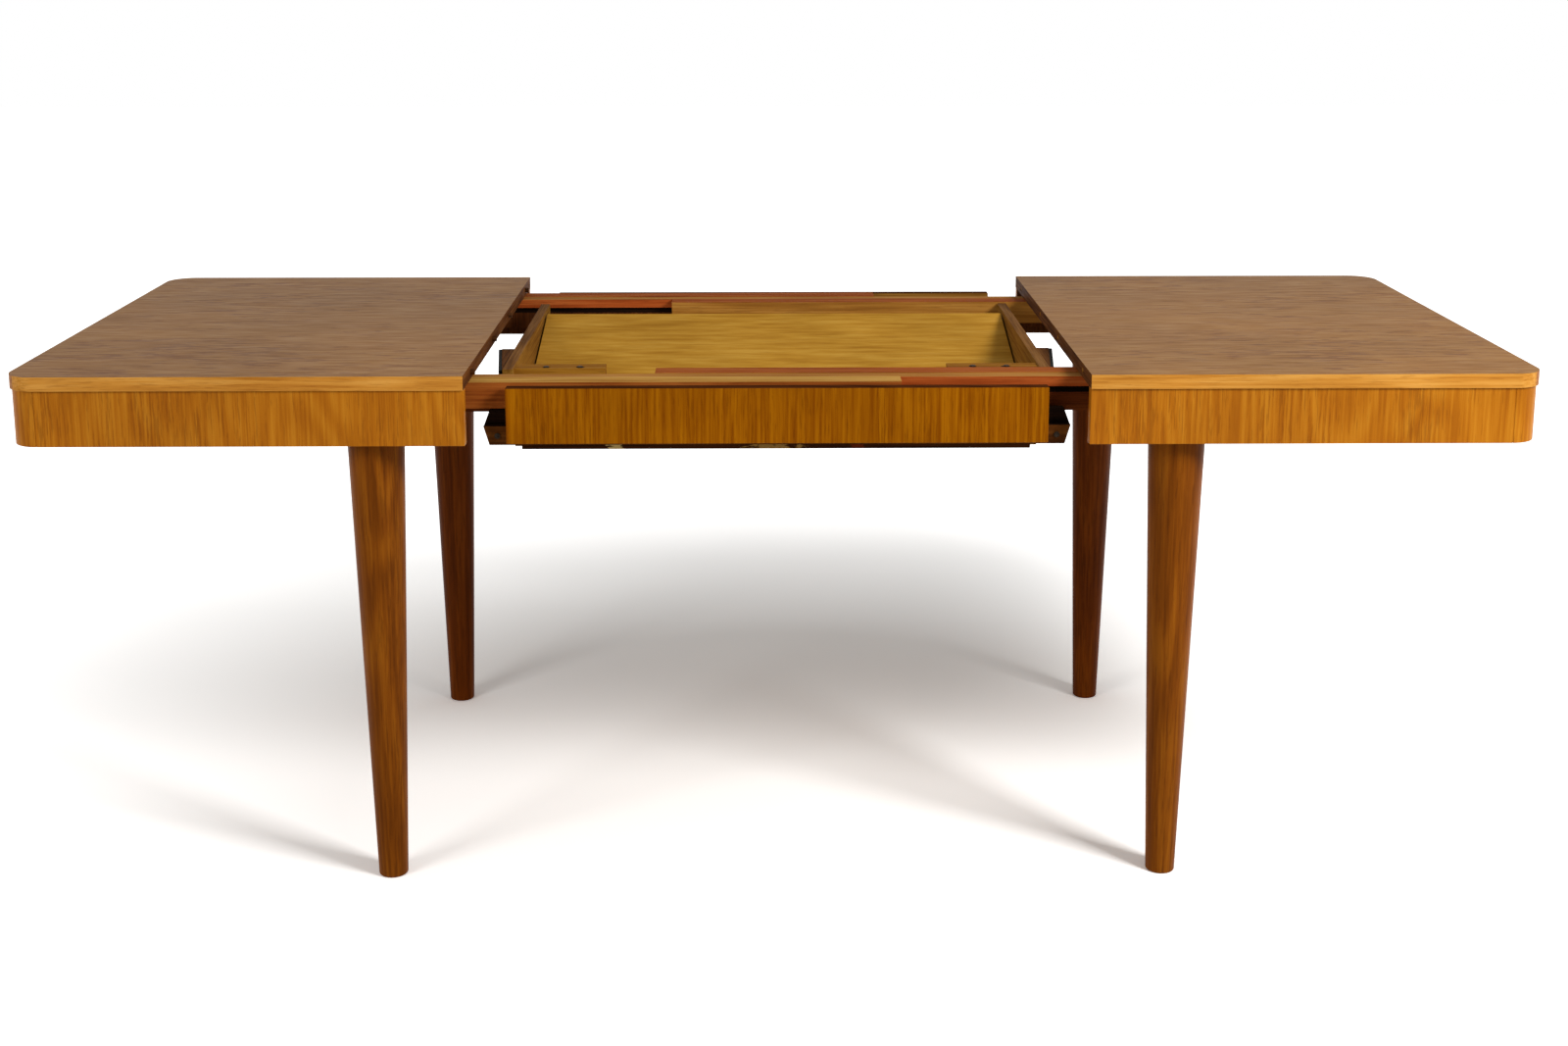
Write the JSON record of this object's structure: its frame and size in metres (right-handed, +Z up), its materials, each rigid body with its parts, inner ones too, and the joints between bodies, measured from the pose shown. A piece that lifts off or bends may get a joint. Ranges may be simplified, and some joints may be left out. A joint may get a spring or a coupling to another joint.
{
  "type": "extending table",
  "caption": "Oak-veneered extending dining table on turned tapered legs; the halves of its top slide apart on wooden runners over a folded leaf stowed in the frame.",
  "frame": {"origin": "on the floor, under the middle of the table", "axes": "+X along the length, towards the right half; +Y in depth, towards the back; +Z up"},
  "size_m": [2.122, 0.85, 0.76],
  "materials": {
    "frame_pine": "raw",
    "dark_steel": "dark, oxidised",
    "centre_apron_oak": "satin varnished oak veneer",
    "rail_beech": "raw",
    "hinge_brass": "dull",
    "leaf_wood": "raw board outside, varnished veneer inside the fold",
    "apron_oak": "satin varnished oak veneer",
    "outer_runner_beech": "stained, worn",
    "pin_wood": "stained",
    "top_veneer": "satin varnished oak veneer",
    "leg_oak": "satin varnish",
    "inner_runner_beech": "stained, worn",
    "black_rubber": "matt"
  },
  "bodies": {
    "base": {"apron_bearer_back": "frame_pine", "apron_bearer_front": "frame_pine", "bearer_screws": "dark_steel", "centre_apron_back": "centre_apron_oak", "centre_apron_front": "centre_apron_oak", "cross_member_left": "frame_pine", "cross_member_right": "frame_pine", "end_rail_left": "frame_pine", "end_rail_right": "frame_pine", "fixed_rail_back": "rail_beech", "fixed_rail_front": "rail_beech", "leg_back_left": "leg_oak", "leg_back_right": "leg_oak", "leg_block_back_left": "frame_pine", "leg_block_back_right": "frame_pine", "leg_block_front_left": "frame_pine", "leg_block_front_right": "frame_pine", "leg_bolts": "dark_steel", "leg_front_left": "leg_oak", "leg_front_right": "leg_oak", "rail_stop_pins": "pin_wood", "side_block_left": "frame_pine", "side_block_right": "frame_pine", "side_pads": "black_rubber", "support_block_left": "frame_pine", "support_block_right": "frame_pine", "support_screws": "dark_steel", "tray_back_bar": "frame_pine", "tray_front_bar": "frame_pine", "tray_front_board": "frame_pine"},
    "left_half": {"left_apron_back": "apron_oak", "left_apron_end": "apron_oak", "left_apron_front": "apron_oak", "left_corner_back": "apron_oak", "left_corner_front": "apron_oak", "left_runner_back": "outer_runner_beech", "left_runner_front": "outer_runner_beech", "left_runner_screws": "dark_steel", "left_stop_pins": "pin_wood", "left_top": "top_veneer", "locating_pins": "pin_wood"},
    "right_half": {"right_apron_back": "apron_oak", "right_apron_end": "apron_oak", "right_apron_front": "apron_oak", "right_corner_back": "apron_oak", "right_corner_front": "apron_oak", "right_runner_back": "inner_runner_beech", "right_runner_front": "inner_runner_beech", "right_runner_screws": "dark_steel", "right_stop_pins": "pin_wood", "right_top": "top_veneer"},
    "leaf_lower_half": {"leaf_lower": "leaf_wood", "leaf_hinges_lower": "hinge_brass", "leaf_hinge_pins": "hinge_brass"},
    "leaf_upper_half": {"leaf_upper": "leaf_wood", "leaf_hinges_upper": "hinge_brass"}
  },
  "joints": [
    {"name": "left_slide", "type": "slide", "parent": "base", "child": "left_half", "axis": [-1, 0, 0], "range_m": [-0.431, 0]},
    {"name": "right_slide", "type": "slide", "parent": "base", "child": "right_half", "axis": [1, 0, 0], "range_m": [-0.431, 0]},
    {"name": "leaf_lift", "type": "slide", "parent": "base", "child": "leaf_lower_half", "axis": [0, 0, 1], "range_m": [0, 0.3]},
    {"name": "leaf_fold", "type": "hinge", "parent": "leaf_lower_half", "child": "leaf_upper_half", "pos_m": [0, 0.2024, 0.71631], "axis": [-1, 0, 0], "range_deg": [0, 180]}
  ],
  "couplings": [
    {"joint": "leaf_fold", "follows": "leaf_lift", "rad_per_m": 10.472}
  ]
}
